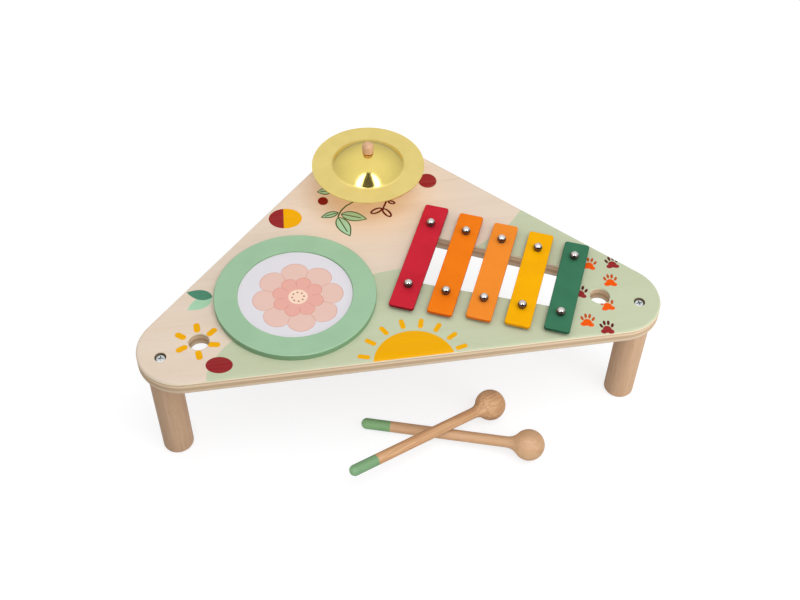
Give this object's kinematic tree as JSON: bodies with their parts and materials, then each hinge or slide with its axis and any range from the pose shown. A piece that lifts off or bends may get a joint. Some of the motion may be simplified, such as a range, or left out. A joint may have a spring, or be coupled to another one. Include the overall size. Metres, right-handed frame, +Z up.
{
  "type": "musical activity table",
  "caption": "Low three-legged wooden children's table that carries a drum, tuned metal bars and a small cymbal on a post, with mallets on the floor in front.",
  "frame": {"origin": "middle of the footprint of the table and its mallets, on the floor", "axes": "+X along the straight front edge, to the right as seen from the front; +Y towards the back corner with the cymbal; +Z up"},
  "size_m": [0.459, 0.3382, 0.1816],
  "materials": {
    "birch_ply": "clear matt varnish over printed birch plywood",
    "beech": "clear satin varnish",
    "mallet_beech": "clear satin varnish, painted handle ends",
    "ring_paint": "satin water-based paint on fibreboard",
    "raw_fibreboard": "raw",
    "drum_film": "matt film, printed",
    "red_enamel": "satin enamel",
    "orange_enamel": "satin enamel",
    "light_orange_enamel": "satin enamel",
    "yellow_enamel": "satin enamel",
    "green_enamel": "satin enamel",
    "polished_pin": "polished",
    "zinc_steel": "zinc plated",
    "insert_brass": "machined",
    "sheet_brass": "spun and lacquered",
    "wool_felt": "pressed felt",
    "soft_bush": "moulded"
  },
  "bodies": {
    "table": {"table_top": "birch_ply", "leg_left": "beech", "leg_right": "beech", "leg_back": "beech", "leg_inserts": "insert_brass", "leg_screws": "zinc_steel", "drum_ring": "ring_paint", "drum_hoop": "raw_fibreboard", "drum_head": "drum_film", "drum_screws": "zinc_steel", "bar_pins": "polished_pin", "bar_grommets": "soft_bush", "cymbal_post": "beech", "post_screw": "zinc_steel", "cymbal_knob": "beech"},
    "cymbal_seat": {"cymbal_felt": "wool_felt"},
    "cymbal": {"cymbal": "sheet_brass"},
    "bar_red": {"bar_red": "red_enamel"},
    "bar_orange": {"bar_orange": "orange_enamel"},
    "bar_light_orange": {"bar_light_orange": "light_orange_enamel"},
    "bar_yellow": {"bar_yellow": "yellow_enamel"},
    "bar_green": {"bar_green": "green_enamel"},
    "mallet_lower": {"mallet_lower": "mallet_beech"},
    "mallet_upper": {"mallet_upper": "mallet_beech"}
  },
  "joints": [
    {"name": "cymbal_spin", "type": "hinge", "parent": "table", "child": "cymbal_seat", "pos_m": [-0.007, 0.08991, 0.16661], "axis": [0, 0, 1], "continuous": true},
    {"name": "cymbal_tilt", "type": "hinge", "parent": "cymbal_seat", "child": "cymbal", "pos_m": [-0.007, 0.08991, 0.16996], "axis": [1, 0, 0], "range_deg": [-3, 3]},
    {"name": "bar_red_play", "type": "slide", "parent": "table", "child": "bar_red", "axis": [0, 0, 1], "range_m": [0, 0.0022]},
    {"name": "bar_orange_play", "type": "slide", "parent": "table", "child": "bar_orange", "axis": [0, 0, 1], "range_m": [0, 0.0022]},
    {"name": "bar_light_orange_play", "type": "slide", "parent": "table", "child": "bar_light_orange", "axis": [0, 0, 1], "range_m": [0, 0.0022]},
    {"name": "bar_yellow_play", "type": "slide", "parent": "table", "child": "bar_yellow", "axis": [0, 0, 1], "range_m": [0, 0.0022]},
    {"name": "bar_green_play", "type": "slide", "parent": "table", "child": "bar_green", "axis": [0, 0, 1], "range_m": [0, 0.0022]},
    {"name": "mallet_upper_lift", "type": "slide", "parent": "table", "child": "mallet_upper", "axis": [0, -0.8, 0.6], "range_m": [0, 0.2]},
    {"name": "mallet_lower_draw", "type": "slide", "parent": "table", "child": "mallet_lower", "axis": [0.9361, -0.3463, 0.0612], "range_m": [0, 0.15]}
  ]
}
